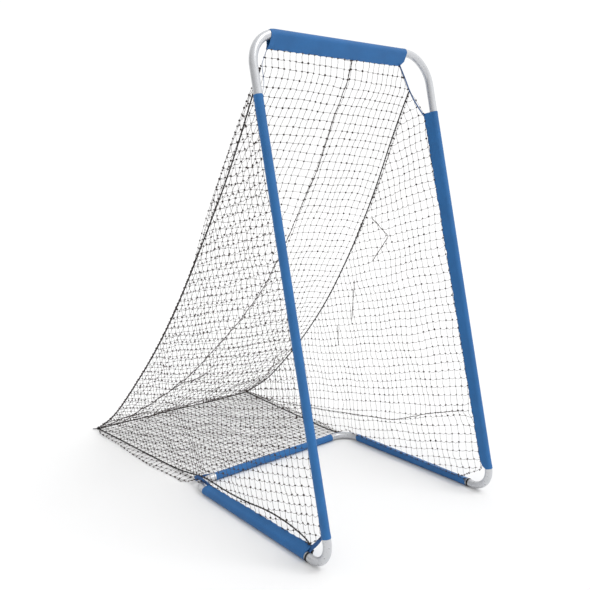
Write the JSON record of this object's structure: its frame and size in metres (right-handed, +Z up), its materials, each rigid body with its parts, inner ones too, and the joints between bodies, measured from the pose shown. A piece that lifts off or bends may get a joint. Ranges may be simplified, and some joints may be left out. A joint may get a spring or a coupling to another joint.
{
  "type": "football kicking net",
  "caption": "Free-standing leaning tube frame with fabric sleeves and a square-mesh net drawn back to the ground by edge ropes, for catching kicked balls.",
  "frame": {"origin": "on the ground, at the centre of the space that the whole net covers, seen from above", "axes": "+X to the user's right as they face the net, +Y from the open front towards the net's rear edge, +Z up"},
  "size_m": [1.12, 2.0797, 2.0864],
  "materials": {
    "tube_finish": "silver-grey powder coat, satin",
    "spring_steel": "blue-grey spring strip",
    "button_steel": "bright steel button on its spring strip",
    "sleeve_fabric": "plain-woven blue polyester with a slight sheen",
    "tape_fabric": "narrow woven blue binding tape",
    "net_twine": "knotted black-brown twine",
    "rope_cord": "twisted black cord"
  },
  "bodies": {
    "frame": {"button_springs": "spring_steel", "corner_knot_left": "rope_cord", "corner_knot_right": "rope_cord", "corner_tape_foot_left": "tape_fabric", "corner_tape_rear_left": "tape_fabric", "corner_tape_rear_right": "tape_fabric", "corner_tape_top_left": "tape_fabric", "corner_tape_top_right": "tape_fabric", "edge_rope_left": "rope_cord", "edge_rope_right": "rope_cord", "foot_tube_left": "tube_finish", "foot_tube_right": "tube_finish", "front_knot_left": "rope_cord", "front_knot_right": "rope_cord", "ground_rope_left": "rope_cord", "ground_rope_right": "rope_cord", "ground_sleeve_left": "sleeve_fabric", "ground_sleeve_right": "sleeve_fabric", "leg_sleeve_left": "sleeve_fabric", "leg_sleeve_right": "sleeve_fabric", "leg_tube_left": "tube_finish", "leg_tube_right": "tube_finish", "net_back": "net_twine", "net_floor": "net_twine", "net_left": "net_twine", "net_right": "net_twine", "rear_corner_tube_left": "tube_finish", "rear_corner_tube_right": "tube_finish", "rear_rope": "rope_cord", "rear_sleeve": "sleeve_fabric", "rope_ring_left": "rope_cord", "rope_ring_right": "rope_cord", "top_corner_tube_left": "tube_finish", "top_corner_tube_right": "tube_finish", "top_sleeve": "sleeve_fabric"},
    "button_ground_left": {"button_ground_left": "button_steel"},
    "button_ground_right": {"button_ground_right": "button_steel"},
    "button_lower_leg_left": {"button_lower_leg_left": "button_steel"},
    "button_lower_leg_right": {"button_lower_leg_right": "button_steel"},
    "button_rear_centre": {"button_rear_centre": "button_steel"},
    "button_top_centre": {"button_top_centre": "button_steel"},
    "button_upper_leg_left": {"button_upper_leg_left": "button_steel"},
    "button_upper_leg_right": {"button_upper_leg_right": "button_steel"}
  },
  "joints": [
    {"name": "press_ground_left", "type": "slide", "parent": "frame", "child": "button_ground_left", "axis": [-0.7071, 0, -0.7071], "range_m": [0, 0.0058], "stiffness_N_per_m": 1500},
    {"name": "press_ground_right", "type": "slide", "parent": "frame", "child": "button_ground_right", "axis": [0.7071, 0, -0.7071], "range_m": [0, 0.0058], "stiffness_N_per_m": 1500},
    {"name": "press_lower_leg_left", "type": "slide", "parent": "frame", "child": "button_lower_leg_left", "axis": [-0.7071, -0.6895, 0.1567], "range_m": [0, 0.0058], "stiffness_N_per_m": 1500},
    {"name": "press_lower_leg_right", "type": "slide", "parent": "frame", "child": "button_lower_leg_right", "axis": [0.7071, -0.6895, 0.1567], "range_m": [0, 0.0058], "stiffness_N_per_m": 1500},
    {"name": "press_rear_centre", "type": "slide", "parent": "frame", "child": "button_rear_centre", "axis": [0, -0.8385, 0.5449], "range_m": [0, 0.0058], "stiffness_N_per_m": 1500},
    {"name": "press_top_centre", "type": "slide", "parent": "frame", "child": "button_top_centre", "axis": [0, -0.1736, 0.9848], "range_m": [0, 0.0058], "stiffness_N_per_m": 1500},
    {"name": "press_upper_leg_left", "type": "slide", "parent": "frame", "child": "button_upper_leg_left", "axis": [-0.7071, -0.6895, 0.1567], "range_m": [0, 0.0058], "stiffness_N_per_m": 1500},
    {"name": "press_upper_leg_right", "type": "slide", "parent": "frame", "child": "button_upper_leg_right", "axis": [0.7071, -0.6895, 0.1567], "range_m": [0, 0.0058], "stiffness_N_per_m": 1500}
  ]
}
